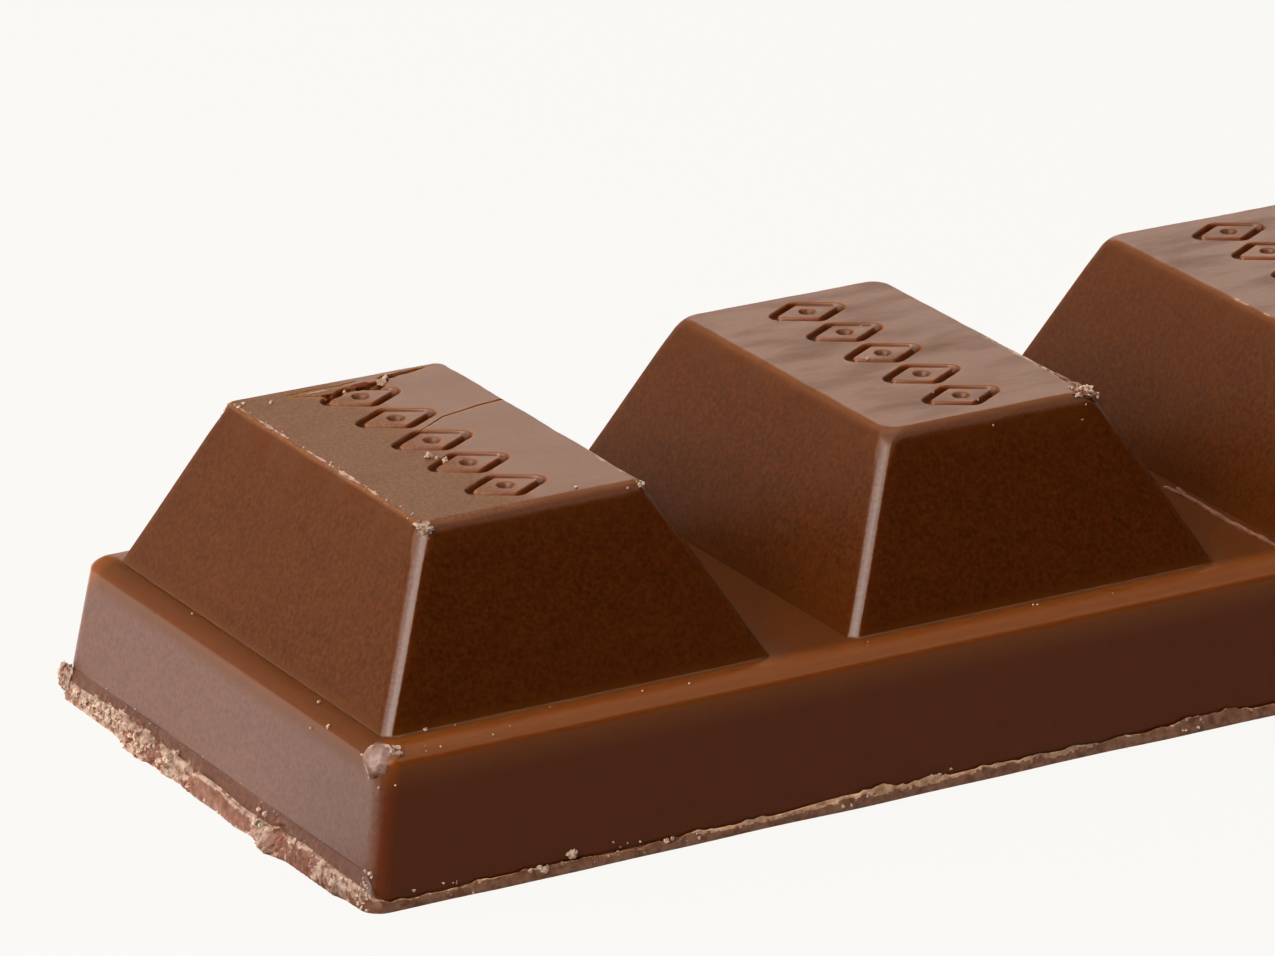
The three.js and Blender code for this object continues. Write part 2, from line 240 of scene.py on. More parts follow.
# Soft boxes: azimuth from +X towards +Y, elevation, half spread, radiance and distance
LIGHTS = (
    ("key", 210.5, 32, (9.5, 16), 8.1, 0.85), ("key_high", 205, 58, (22, 11), 3.1, 0.9),
    ("left", 168, 24, (25, 17), 2.2, 0.9), ("front_left", 238, 30, (10, 14), 0.6, 0.9),
    ("left_high", 150, 57, (14, 13), 1.65, 0.95), ("overhead", 0, 86, (20, 18), 1.3, 1.0),
    ("right_high", 350, 60, (30, 12), 0.4, 1.0), ("right_low", 315, 47, (26, 7), 0.78, 1.1),
    ("back_high", 80, 54, (24, 14), 0.5, 1.0), ("back_right", 59, 20, (15, 12), 1.1, 1.0),
    ("right", 25, 12, (18, 11), 0.45, 1.0), ("back", 105, 18, (22, 16), 0.55, 1.0),
)

# Fans of shining ground that the camera doesn't see: from and to azimuth, and how bright
GLOWS = (
    ("glow_right", -20, 60, 1.2), ("glow_back", 60, 105, 1.0),
    ("glow_left_back", 105, 155, 1.13), ("glow_left", 155, 195, 1.2),
    ("glow_front_left", 195, 250, 0.42), ("glow_front", 250, 340, 0.42),
)

# The camera, as measured from the photograph. AIM_PIXEL is where the first chunk's foot lies
IMAGE = (1275, 956)
CAMERA_TURN = {"azimuth": -30.578, "elevation": 20.239, "roll": 0.31}
CAMERA_FOCAL = 8274.6
CAMERA_DISTANCE = 391.66
AIM_PIXEL = (440.4, 607.5)
SENSOR = 36.0


def waver(points, wavelength, seed):
    """Smooth noise between about -1 and 1 at each point, its waves as long as asked."""
    shift = Vector((7.31 * seed, 3.17 * seed, 5.71 * seed))
    return np.array([noise.noise(Vector(p) / wavelength + shift) for p in points])


def on_circle(centre, radius, angle, z):
    """The point at an angle on a level circle."""
    return centre[0] + radius * cos(angle), centre[1] + radius * sin(angle), z


def rounded_rectangle(bounds, leg, z, flatness=0.0, side_steps=(1, 1)):
    """A rectangle with round or bevelled corners, counterclockwise seen from above.

    bounds are left, right, near and back. A flatness of 1 makes the corner a plain bevel.
    side_steps cuts the sides that run along X and along Y into shorter lengths.
    """
    left, right, near, back = bounds
    centres = (
        (right - leg, back - leg), (left + leg, back - leg),
        (left + leg, near + leg), (right - leg, near + leg),
    )
    points = []
    for corner, centre in enumerate(centres):
        for angle in np.linspace(0, pi / 2, CORNER_STEPS + 1):
            bevel = 1 / (cos(angle) + sin(angle))
            reach = leg * (1 - flatness + flatness * bevel)
            points.append(on_circle(centre, reach, angle + corner * pi / 2, z))
        first = np.array(points[-1])
        last = np.array(on_circle(centres[(corner + 1) % 4], leg, (corner + 1) * pi / 2, z))
        steps = side_steps[corner % 2]
        points += [tuple(first + (last - first) * i / steps) for i in range(1, steps)]
    return points


def add_object(name, data):
    """A new object in the scene."""
    obj = bpy.data.objects.new(name, data)
    bpy.context.scene.collection.objects.link(obj)
    return obj


def new_object(name, points, faces, finish=SKIN):
    """A closed mesh, turned so that its faces look outward.

    finish is one finish for all its faces, or one for each.
    """
    points = np.array(points, float)
    volume = sum(np.dot(points[face[0]], np.cross(points[second], points[third]))
                 for face in faces for second, third in zip(face[1:], face[2:]))
    if volume < 0:
        faces = [tuple(reversed(face)) for face in faces]
    mesh = bpy.data.meshes.new(name)
    mesh.from_pydata((points * MM).tolist(), [], faces)
    for material in finishes:
        mesh.materials.append(material)
    slots = [finish] * len(faces) if isinstance(finish, int) else list(finish)
    mesh.polygons.foreach_set("material_index", slots)
    mesh.update()
    return add_object(name, mesh)


def loft(name, rings, endless=False, finish=SKIN):
    """A closed mesh through rings of points: capped at both ends, or joined end to end."""
    count = len(rings[0])
    points = np.array(rings, float).reshape(-1, 3)
    faces = []
    for band in range(len(rings) if endless else len(rings) - 1):
        lower = band * count
        upper = (band + 1) % len(rings) * count
        for i in range(count):
            after = (i + 1) % count
            faces.append((lower + i, lower + after, upper + after, upper + i))
    if not endless:
        last = (len(rings) - 1) * count
        faces.append(tuple(range(count - 1, -1, -1)))
        faces.append(tuple(range(last, last + count)))
    return new_object(name, points, faces, finish)


def join(name, objs):
    """One object out of several, which are removed."""
    builder = bmesh.new()
    for obj in objs:
        builder.from_mesh(obj.data)
    mesh = bpy.data.meshes.new(name)
    builder.to_mesh(mesh)
    builder.free()
    for material in finishes:
        mesh.materials.append(material)
    for obj in objs:
        bpy.data.meshes.remove(obj.data)
    return add_object(name, mesh)


def apply_modifiers(obj):
    """Turns an object's mesh into what its modifiers make of it."""
    graph = bpy.context.evaluated_depsgraph_get()
    mesh = bpy.data.meshes.new_from_object(obj.evaluated_get(graph), depsgraph=graph)
    old = obj.data
    obj.modifiers.clear()
    obj.data = mesh
    bpy.data.meshes.remove(old)


def combine(body, tool, operation):
    """Joins the tool to the body or cuts it out, and removes the tool."""
    change = body.modifiers.new(operation, "BOOLEAN")
    change.object = tool
    change.operation = operation
    change.solver = "MANIFOLD"
    apply_modifiers(body)
    bpy.data.meshes.remove(tool.data)


def smooth(value):
    """Eases a value from 0 to 1."""
    value = np.clip(value, 0, 1)
    return value * value * (3 - 2 * value)


def slab_rings():
    """The slab's wall from its foot up: stepped at the foot, rounded at the rim."""
    taper = [(SLAB_FOOT[i] - SLAB_TOP[i]) / 2 for i in (0, 1)]
    tilt = atan((taper[0] + taper[1]) / 2 / SLAB_DEPTH)

    def section(height, insets, radius):
        share = height / SLAB_DEPTH
        x, y = [SLAB_FOOT[i] / 2 - taper[i] * share - insets[i] for i in (0, 1)]
        return rounded_rectangle((-x, x, -y, y), radius, height)

    rings = []
    for height in sorted({height for height, _ in END_STEP + SIDE_STEP}):
        insets = [np.interp(height, *zip(*step)) for step in (END_STEP, SIDE_STEP)]
        rings.append(section(height, insets, SLAB_CORNER_RADIUS))
    for angle in np.linspace(tilt, pi / 2, 11):
        drop = SLAB_RIM_RADIUS * (1 - sin(angle))
        back = SLAB_RIM_RADIUS * ((1 - sin(tilt)) / cos(tilt) - cos(angle))
        inset = max(0.0, back - drop * tan(tilt))
        radius = max(SLAB_CORNER_RADIUS - inset, SLAB_CORNER_RADIUS / 3)
        rings.append(section(SLAB_DEPTH - drop, (inset, inset), radius))
    return rings


def rounding_inset(drop, lean, radius, slope):
    """How far in a rounding lies from the plain wall, at a drop below the crown.

    lean is the wall's slope from upright. The arc meets the crown at the slope given.
    """
    slope = radians(slope)
    centre_drop = radius * cos(slope)
    if drop > centre_drop - radius * sin(lean):
        return 0.0
    centre_out = -radius * (1 - sin(lean) * cos(slope)) / cos(lean)
    out = centre_out + sqrt(radius ** 2 - (centre_drop - drop) ** 2)
    return tan(lean) * drop - out


def chunk_rings(index):
    """One chunk from below its foot to its crown.

    The foot sweeps out on a small fillet, and the crown's edge wavers as it was cast.
    """
    middle = CHUNK_MIDDLES[index]
    roundings = WORN_ROUNDINGS if index == 0 else ROUNDINGS
    taper = [(CHUNK_FOOT[i] - CROWN[i]) / 2 for i in (0, 1)]
    leans = [atan(taper[i] / CHUNK_RISE) for i in (0, 1)]

    def section(height, spread=0.0, z=None):
        share = height / CHUNK_RISE
        drop = CHUNK_RISE - height
        centre = (middle + CROWN_LEAN[0] * share, CROWN_LEAN[1] * share)
        bounds = []
        for axis, sign, side in ((0, -1, "left"), (0, 1, "right"), (1, -1, "near"),
                                 (1, 1, "back")):
            half = CHUNK_FOOT[axis] / 2 - taper[axis] * share
            half += spread * (0.25 if side == "left" else 1)
            half -= rounding_inset(drop, leans[axis], *roundings[side])
            bounds.append(centre[axis] + sign * half)
        plan = float(smooth(1 - drop / 0.6))
        leg = np.interp(share, (0, 1), CORNER_LEGS)
        leg += ((CROWN_CORNER_RADIUS if index else WORN_CORNER_RADIUS) - leg) * plan
        flatness = CORNER_FLATNESS * (1 - plan)
        z = SLAB_DEPTH + height if z is None else z
        return rounded_rectangle(bounds, leg, z, flatness, side_steps=CHUNK_SIDE_STEPS)

    rings = [section(0, FOOT_FILLET, SLAB_DEPTH - 0.5)]
    lean = (leans[0] + leans[1]) / 2
    out = FOOT_FILLET * (1 - sin(lean)) / cos(lean)
    for angle in np.linspace(pi / 2, lean, 5):
        rise = FOOT_FILLET * (1 - sin(angle))
        spread = out - FOOT_FILLET * cos(angle)
        rings.append(section(0, spread, SLAB_DEPTH + rise - 0.004))
    rings += [section(CHUNK_RISE - drop) for drop in RING_DROPS]

    centre = np.array((middle + CROWN_LEAN[0], CROWN_LEAN[1]))
    wavered = []
    for ring in rings:
        ring = np.array(ring)
        share = float(smooth((ring[0, 2] - SLAB_DEPTH - 6.5) / 1.7))
        if share > 0:
            arm = (ring[:, :2] - centre) / (np.array(CROWN) / 2)
            outward = np.where(np.abs(arm) > np.abs(arm).max(1)[:, None] - 0.08, np.sign(arm), 0)
            outward /= np.linalg.norm(outward, axis=1)[:, None]
            flat = np.column_stack((ring[:, :2], np.full(len(ring), 3.0 * index)))
            push = waver(flat, 2.6, index) + 0.6 * waver(flat, 0.9, index + 1)
            ring[:, :2] -= outward * (EDGE_WAVER * share * (1 + push))[:, None]
        wavered.append(ring)
    return wavered


def flash_fullness(distance):
    """How full the flash is, from 0 to 1, at a distance along one side of the foot."""
    waves = (
        0.5 * sin(distance / 3.1 + 5.2)
        + 0.35 * sin(distance / 1.37 + 2.2)
        + 0.3 * sin(distance / 7.3 + 0.4)
    )
    return min(1.0, max(0.3, 0.7 + 0.5 * waves))


def flash_station(kind, distance, length, place, side):
    """Reach, height, ledge, crumbliness and crest of the flash at a distance along one side."""
    height = kind["height"] * (0.5 + 0.5 * flash_fullness(distance + kind["height"]))
    if kind is FLASH_SIDE:
        swell = 0.6 + 0.4 * sqrt(max(0, sin(pi * distance / length)))
        reach = kind["reach"] * min(1.0, 1.1 * swell * flash_fullness(distance))
        lip = max(1 - ((place[0] - middle) / half) ** 4 for middle, half in SIDE_LIPS)
        full = LIP_LEAST + (1 - LIP_LEAST) * float(smooth(lip))
        crumbly = 0.5 * float(smooth(waver([(distance, side * 9.0, 0)], 2.3, 8)[0] * 3))
        crest = 0.4 + 0.75 * float(smooth(lip))
        return reach, height * full, 0.84 * height * full, crumbly * (1 - 0.6 * crest), crest
    reach = kind["reach"] * np.interp(distance, *zip(*END_COURSE))
    along = place[1] if side == 2 else -place[1]
    band = smooth((along - SMOOTH_BAND[0]) / 0.8) * smooth((SMOOTH_BAND[1] - along) / 1.2)
    crumbly = 1 - 0.93 * float(band)
    if along < SMOOTH_BAND[0] - 3:
        crumbly = 0.66
    return reach, height, kind["ledge"], crumbly, 0.4 + 0.6 * float(band)


# The flash's face up to its crest: shares of the reach and the height, freedom to waver, and crest
FLASH_SECTION = (
    (0.5, 0.0, 0.0, 0), (0.8, 0.0, 0.3, 0), (0.95, 0.07, 0.8, 0), (1.0, 0.16, 1, 0),
    (0.98, 0.27, 1, 0), (0.93, 0.38, 1, 0), (0.86, 0.49, 1, 0), (0.78, 0.6, 1, 0),
    (0.7, 0.7, 1, 0.05), (0.6, 0.8, 1, 0.3), (0.5, 0.89, 1, 0.7), (0.4, 0.96, 1, 0.95),
    (0.3, 1.0, 1, 1), (0.2, 0.98, 0.9, 0.75),
)
# The ledge behind the crest: shares of the way up to the wall, freedom, and how pale
FLASH_LEDGE = (
    (0.16, 0.8, 0.7), (0.36, 0.45, 0.45), (0.58, 0.2, 0.2), (0.8, 0.1, 0), (1.0, 0.02, 0),
)


def flash_stations():
    """Places round the foot: centre of the corner arc, direction out, and the local form."""
    half = x, y = [foot / 2 - SLAB_CORNER_RADIUS for foot in SLAB_FOOT]
    starts = ((x, -y), (x, y), (-x, y), (-x, -y))
    stations = []
    kinds = (FLASH_END, FLASH_SIDE)
    for side, start in enumerate(starts):
        kind, following = kinds[side % 2], kinds[1 - side % 2]
        length, next_length = 2 * half[1 - side % 2], 2 * half[side % 2]
        angle = side * pi / 2
        along = np.array((-sin(angle), cos(angle)))
        steps = round(length / kind["step"])
        for i in range(steps + 1):
            distance = length * i / steps
            centre = np.array(start) + along * distance
            form = flash_station(kind, distance, length, centre, side)
            stations.append((centre, angle, *form))
        after = flash_station(following, 0, next_length, centre, (side + 1) % 4)
        for share in np.linspace(0, 1, 13)[1:-1]:
            mixed = [a + (b - a) * share for a, b in zip(form, after)]
            stations.append((centre, angle + share * pi / 2, *mixed))
    return stations


def flash_section(reach, height, ledge):
    """The flash's section, from its root up its face and back over its ledge.

    Each point has its place out and up, its freedom, its share of the crest and its paleness.
    """
    section = [(-FLASH_ROOT, 0, 0, 0, 0)]
    section += [(reach * out, height * up, free, crest, 1)
                for out, up, free, crest in FLASH_SECTION]
    start, end = section[-1][:2], (-FLASH_LEAN * ledge - 0.06, ledge)
    section += [(start[0] + (end[0] - start[0]) * share,
                 start[1] + (end[1] - start[1]) * share, free, 0, paleness)
                for share, free, paleness in FLASH_LEDGE]
    return section + [(-FLASH_ROOT, ledge, 0, 0, 0)]


def make_flash():
    """The flash round the foot: a broken band with a ragged crest, crumbly in places, its crest
    paled partly as a painted highlight.
    """
    rows = []
    for centre, angle, reach, height, ledge, crumbly, station_crest in flash_stations():
        outward = np.array((cos(angle), sin(angle)))
        slack = 0.3 + 0.7 * min(1, reach / 0.5)
        for out, z, free, crest, paleness in flash_section(reach, height, ledge):
            place = centre + outward * (SLAB_CORNER_RADIUS + out)
            rows.append((*place, z, *outward, free * slack, crest, crumbly, paleness, station_crest))
    rows = np.array(rows)
    points, outward = rows[:, :3].copy(), rows[:, 3:5]
    free, crest, loose, pale, station_crest = rows[:, 5:].T
    sideways = np.abs(outward[:, 1])

    cells = np.array([noise.voronoi(Vector(p) / FLASH_LUMP)[0][:2] for p in points])
    lumps = np.clip(cells[:, 1] - cells[:, 0], 0, 0.6) / 0.6
    broad = waver(points, 1.3, 3) + 0.5 * waver(points, 0.55, 4)
    fine = waver(points, 0.28, 5) + 0.5 * waver(points, 0.15, 9)
    out = loose * (0.28 * (lumps - 0.7) + 0.12 * broad) + 0.03 * broad + 0.03 * fine
    up = crest * (0.1 * waver(points, 0.45, 6) + 0.07 * fine + 0.05) * (1 + 0.9 * sideways)
    up += crest * sideways * (0.5 * waver(points, 1.2, 15) + 0.25 * waver(points, 0.5, 16))
    up += loose * (0.12 * broad + 0.1 * (lumps - 0.6))
    hollow = np.exp(-((points[:, 1] - CAVITY) / 0.45) ** 2) * (points[:, 0] < 0)
    hollow *= smooth((points[:, 2] - 0.1) / 0.3)
    points[:, :2] += outward * (free * out - 0.45 * hollow * free)[:, None]
    points[:, 2] += free * up
    limit = SIZE / 2 - BOX_GAP
    points = np.clip(points, (-limit[0], -limit[1], 0), (limit[0], limit[1], SIZE[2]))

    count = len(FLASH_SECTION) + len(FLASH_LEDGE) + 2
    patchy = 0.55 * broad + 0.45 * fine
    high = np.zeros(count)
    high[1:len(FLASH_SECTION) + 1] = [smooth((up - 0.35) / 0.3) for _, up, _, _ in FLASH_SECTION]
    pallor_and_highlight = loose * pale * (0.74 + 1.1 * patchy) - hollow
    # The crest is pale partly from being broken and partly as a painted highlight where it catches
    # the light
    pallor_and_highlight += station_crest * crest * (0.95 + 0.5 * patchy)
    # Painted light: the upper rows of the faces along the sides are paled where they face up to
    # the light
    pallor_and_highlight += sideways * station_crest * np.tile(high, len(points) // count) * (0.5 + 0.9 * patchy)
    # Along the sides the faces take the lighter copies of the rubbed and broken finishes: painted
    # light
    at_side = sideways.reshape(-1, count) > 0.7
    on_face = np.arange(count) < len(FLASH_SECTION) + 1
    whole = np.where(on_face, np.where(at_side, SIDE_LIT_RUBBED, RUBBED), SKIN)
    broken = np.where(at_side, SIDE_LIT_BROKEN, BROKEN)
    finish = np.where(pallor_and_highlight.reshape(-1, count) > PALE_FROM, broken, whole)
    rings = points.reshape(-1, count, 3)
    return loft("flash", rings, endless=True, finish=finish.reshape(-1).tolist())


def lozenge_ring(offset, z, centre):
    """The lozenge's outline with round corners, moved outward by an offset."""
    long_side = hypot(*LOZENGE)
    half = [LOZENGE[i] / 2 - LOZENGE_CORNER * long_side / LOZENGE[1 - i] for i in (0, 1)]
    normal = atan2(*LOZENGE)
    turns = (-normal, normal, pi - normal, pi + normal, 2 * pi - normal)
    corners = ((half[0], 0), (0, half[1]), (-half[0], 0), (0, -half[1]))
    points = []
    for (x, y), start, end in zip(corners, turns, turns[1:]):
        corner = (centre[0] + x, centre[1] + y)
        points += [on_circle(corner, LOZENGE_CORNER + offset, angle, z)
                   for angle in np.linspace(start, end, 6)]
    return points


# Half widths and heights of the groove's and the pit's section, from the lip down
GROOVE_SECTION = ((0.3, 0.2), (0.3, 0.004), (0.24, -0.02), (0.2, -0.08), (0.175, -0.2),
                  (0.12, -0.29), (0.04, -0.32))
PIT_SECTION = ((0.5, 0.2), (0.5, 0.004), (0.44, -0.02), (0.38, -0.09), (0.3, -0.2),
               (0.18, -0.28), (0.04, -0.31))


def make_groove(centre):
    """The cutter of one lozenge-shaped groove."""
    section = list(GROOVE_SECTION[::-1]) + [(-half, z) for half, z in GROOVE_SECTION]
    rings = [lozenge_ring(offset, CROWN_HEIGHT + z, centre) for offset, z in section]
    return loft("groove", rings, endless=True)


def make_pit(centre):
    """The cutter of the round pit inside a lozenge."""
    angles = np.linspace(0, 2 * pi, 20, endpoint=False)
    rings = [[on_circle(centre, radius, angle, CROWN_HEIGHT + z) for angle in angles]
             for radius, z in PIT_SECTION[::-1]]
    return loft("pit", rings)


def make_ornament():
    """The cutter that presses a row of lozenges and pits into every crown."""
    cutters = []
    for middle in CHUNK_MIDDLES:
        for i in range(LOZENGE_COUNT):
            y = CROWN_LEAN[1] + (i - (LOZENGE_COUNT - 1) / 2) * LOZENGE_PITCH
            centre = (middle + CROWN_LEAN[0], y)
            cutters += [make_groove(centre), make_pit(centre)]
    return join("ornament", cutters)


def lying_on(normal):
    """Three axes for a thing on a surface: to the right, up along it, and out of it."""
    out = np.array(normal) / np.linalg.norm(normal)
    right = np.cross((0, 0, 1), out)
    right /= np.linalg.norm(right)
    return np.array((right, np.cross(out, right), out))


def lump(centre, size, seed, roughness, finish=BROKEN, detail=3, axes=np.eye(3)):
    """A closed lump of uneven outline, as long along each of its axes as the size says."""
    builder = bmesh.new()
    bmesh.ops.create_icosphere(builder, subdivisions=detail, radius=1)
    points = np.array([vertex.co[:] for vertex in builder.verts])
    faces = [[vertex.index for vertex in face.verts] for face in builder.faces]
    builder.free()
    swell = 1 + roughness * (waver(points, 0.9, seed) * 1.2 + waver(points, 0.4, seed + 1))
    if detail > 2:
        swell += roughness * 0.5 * waver(points, 0.2, seed + 2)
    shaped = points * swell[:, None] * np.array(size) / 2
    return new_object("lump", shaped @ axes + np.array(centre), faces, finish)


def lumps(origin, shapes, seed, *look, axes=np.eye(3)):
    """A lump for each place and size, the places counted from an origin along the axes."""
    return [lump(np.array(origin) + np.array(shift) @ axes, size, seed + i, *look, axes=axes)
            for i, (shift, size) in enumerate(shapes)]


def rough_cord(path, radius, seed, roughness=0.5, patchy=0.0, finish=BROKEN, sides=12):
    """A closed cord of uneven thickness along a path of points.

    patchy thins the cord to nothing along some stretches.
    """
    path = np.array(path, float)
    lengths = np.concatenate(([0], np.cumsum(np.linalg.norm(np.diff(path, axis=0), axis=1))))
    count = max(3, int(lengths[-1] / CORD_STEP))
    places = np.linspace(0, lengths[-1], count + 1)
    centres = np.column_stack([np.interp(places, lengths, path[:, i]) for i in range(3)])
    heading = np.gradient(centres, axis=0)
    heading /= np.linalg.norm(heading, axis=1)[:, None]
    aside = np.cross(heading, (0, 0, 1))
    raised = np.cross(aside, heading)
    along = np.column_stack((places, np.zeros(count + 1), np.full(count + 1, seed * 2.0)))
    swell = 1 - patchy * smooth(0.5 + 1.6 * waver(along, 1.3, seed))
    ends = smooth(np.minimum(places, lengths[-1] - places) / (2.5 * radius))
    swell = np.maximum(swell * (0.25 + 0.75 * ends), 0.08)
    rings = []
    angles = np.linspace(0, 2 * pi, sides, endpoint=False)
    for i in range(count + 1):
        ring = np.outer(np.cos(angles), aside[i]) + np.outer(np.sin(angles), raised[i])
        rings.append(centres[i] + ring * radius * swell[i])
    flat = np.array(rings).reshape(-1, 3)
    bumps = waver(flat, 0.6, seed + 1) + 0.6 * waver(flat, 0.25, seed + 2)
    spine = np.repeat(centres, sides, axis=0)
    flat = spine + (flat - spine) * (1 + roughness * bumps)[:, None]
    return loft("cord", flat.reshape(count + 1, sides, 3), finish=finish)


def crown_corner(index, x_side, y_side):
    """A corner of a crown, before its edges were rounded."""
    x = CHUNK_MIDDLES[index] + CROWN_LEAN[0] + x_side * CROWN[0] / 2
    return np.array((x, CROWN_LEAN[1] + y_side * CROWN[1] / 2, CROWN_HEIGHT))


def crown_edge(index, start, end, inward, lift=0.0):
    """A straight path along a crown's edge between two of its corners."""
    first = crown_corner(index, *start)
    last = crown_corner(index, *end)
    middle = crown_corner(index, 0, 0)
    across = (middle - first) + (middle - last)
    heading = (last - first) / np.linalg.norm(last - first)
    across -= heading * (across @ heading)
    across /= np.linalg.norm(across)
    shift = across * inward + np.array((0, 0, lift))
    return first + shift, last + shift


def edge_chip(index, edge, inward, part, radius, seed, roughness=0.5, patchy=0.6, lift=0.06):
    """A cutter along the part of a crown's edge between two shares of its length."""
    first, last = crown_edge(index, *edge, inward, lift)
    path = [first + (last - first) * share for share in part]
    return rough_cord(path, radius, seed, roughness, patchy)


def make_broken_cutters():
    """What has broken off the crowns: chips along edges, corners and the first's back edge."""
    cutters = []
    # Painted shade: the trench, the crack and the hollows take the dark skin finish rather than
    # the pale broken one, so that these recesses read dark
    for path, radius, seed in ((BACK_TRENCH, 0.17, 11), (BACK_CRACK, 0.08, 12)):
        path = [(x, y, CROWN_HEIGHT) for x, y in path]
        cutters.append(rough_cord(path, radius, seed, patchy=0.2, finish=SKIN))
    cutters += lumps((0, 0, CROWN_HEIGHT), BACK_HOLLOWS, 21, 0.4, SKIN)
    cutters.append(edge_chip(0, LEFT_EDGE, 0.12, (0.04, 0.99), 0.1, 31, 0.7, lift=0.05))
    for index, x_side, y_side, size, seed in (
            (0, LEFT, NEAR, (1.0, 1.0, 0.9), 41), (1, RIGHT, NEAR, (1.1, 1.0, 0.8), 42),
            (0, RIGHT, NEAR, (0.8, 0.7, 0.6), 43), (0, LEFT, BACK, (0.6, 0.5, 0.4), 44)):
        place = crown_corner(index, x_side, y_side) + np.array((0, 0, 0.05))
        cutters.append(lump(place, size, seed, 0.5))
    cutters.append(edge_chip(1, RIGHT_EDGE, 0.28, (0.5, 0.97), 0.2, 46, patchy=0.3))
    cutters.append(edge_chip(0, RIGHT_EDGE, 0.3, (0.78, 0.97), 0.12, 47, 0.6, 0.5))
    bubble = crown_corner(1, LEFT, NEAR) + np.array((0.12, -0.22, -0.28))
    cutters.append(lump(bubble, (0.17, 0.17, 0.17), 48, 0.1, SKIN, detail=2))
    return cutters


def make_hidden_wear():
    """Small chips on the crowns that stand beyond the photograph's edge."""
    draw = random.Random(5)
    cutters = []
    for index in range(2, CHUNK_COUNT):
        for start in draw.sample(range(4), 2):
            edge = (CORNERS[start], CORNERS[(start + 1) % 4])
            begin = draw.uniform(0.05, 0.6)
            part = (begin, begin + draw.uniform(0.15, 0.35))
            cutters.append(edge_chip(index, edge, 0.3, part, 0.13, 60 + 7 * index + start))
        if index > 2:
            corner = draw.choice(CORNERS)
            size = draw.uniform(0.7, 1.1)
            place = crown_corner(index, *corner) + np.array((0, 0, 0.1))
            cutters.append(lump(place, (size, size, size * 0.8), 80 + index, 0.5))
    return cutters


def make_crack():
    """The hairline crack across the first crown, from its right edge inward."""
    path = ((-56.3, 3.72), (-57.4, 3.45), (-58.6, 3.3), (-59.7, 3.0), (-60.8, 2.75),
            (-61.8, 2.1), (-62.6, 1.6))
    rings = []
    for i, (x, y) in enumerate(path):
        share = 1 - i / len(path)
        wide = 0.05 + 0.07 * share
        deep = 0.12 + 0.22 * share
        rings.append([
            (x, y - wide, CROWN_HEIGHT + 0.1), (x, y + wide, CROWN_HEIGHT + 0.1),
            (x, y + wide * 0.3, CROWN_HEIGHT - deep), (x, y - wide * 0.3, CROWN_HEIGHT - deep),
        ])
    return loft("crack", rings[::-1])


def make_additions():
    """What stands on the bar: a smear, flakes, a swirl, filled corners and a valley's ridges."""
    axes = lying_on(SMEAR_FACING)
    parts = [lump(SMEAR_PLACE, SMEAR_SIZE, 51, 0.12, SMEARED, detail=4, axes=axes)]
    parts += lumps(SMEAR_PLACE, SMEAR_FLAKES, 52, 0.5, axes=axes)
    parts += lumps((0, 0, CROWN_HEIGHT), BACK_FLAKES, 61, 0.45)
    parts += lumps(crown_corner(0, LEFT, NEAR), CORNER_CAP, 71, 0.6)
    parts += lumps(crown_corner(1, RIGHT, NEAR), FLAKY_CORNER, 91, 0.4, RUBBED)
    for reach, swing in SWIRL:
        path = []
        for turn in np.linspace(0.4, 5.6, 40):
            slope = radians(34) + swing * sin(turn)
            path.append((
                -SLAB_TOP[0] / 2 + SLAB_RIM_RADIUS * (0.97 - 0.99 * sin(slope)),
                -0.3 + reach * cos(turn),
                SLAB_DEPTH - SLAB_RIM_RADIUS * (1 - 0.99 * cos(slope)),
            ))
        parts.append(rough_cord(path, 0.06, 58, 0.3, finish=SKIN, sides=8))
    for x_side in (LEFT, RIGHT):
        corner = (x_side * (SLAB_FOOT[0] / 2 - 0.1), -x_side * (SLAB_FOOT[1] / 2 - 0.55), 1.15)
        parts.append(lump(corner, (0.8, 0.8, 1.5), 55 + x_side, 0.4, detail=4))
    valley = (CHUNK_MIDDLES[1] + CHUNK_MIDDLES[2]) / 2
    for course, *form in VALLEY_RIDGES:
        ridge = [(valley + 1.5 + x, y, SLAB_DEPTH) for x, y in course]
        parts.append(rough_cord(ridge, *form, finish=RUBBED))
    return parts


def make_bar():
    """The whole bar in one mesh: moulded, then worn, with its flash and what clings to it."""
    bar = loft("bar", slab_rings())
    chunks = [loft("chunk", chunk_rings(i)) for i in range(CHUNK_COUNT)]
    combine(bar, join("chunks", chunks), "UNION")
    for cutter in make_broken_cutters() + make_hidden_wear():
        combine(bar, cutter, "DIFFERENCE")
    combine(bar, make_crack(), "DIFFERENCE")
    combine(bar, make_ornament(), "DIFFERENCE")
    for part in make_additions():
        combine(bar, part, "UNION")
    combine(bar, make_flash(), "UNION")
    combine(bar, lump(*FLASH_HOLE, 36, 0.4, SKIN), "DIFFERENCE")
    bar.data.shade_smooth()
    bar.data.set_sharp_from_angle(angle=radians(40))
    weigh = bar.modifiers.new("weigh", "WEIGHTED_NORMAL")
    weigh.keep_sharp = True
    apply_modifiers(bar)
    return bar


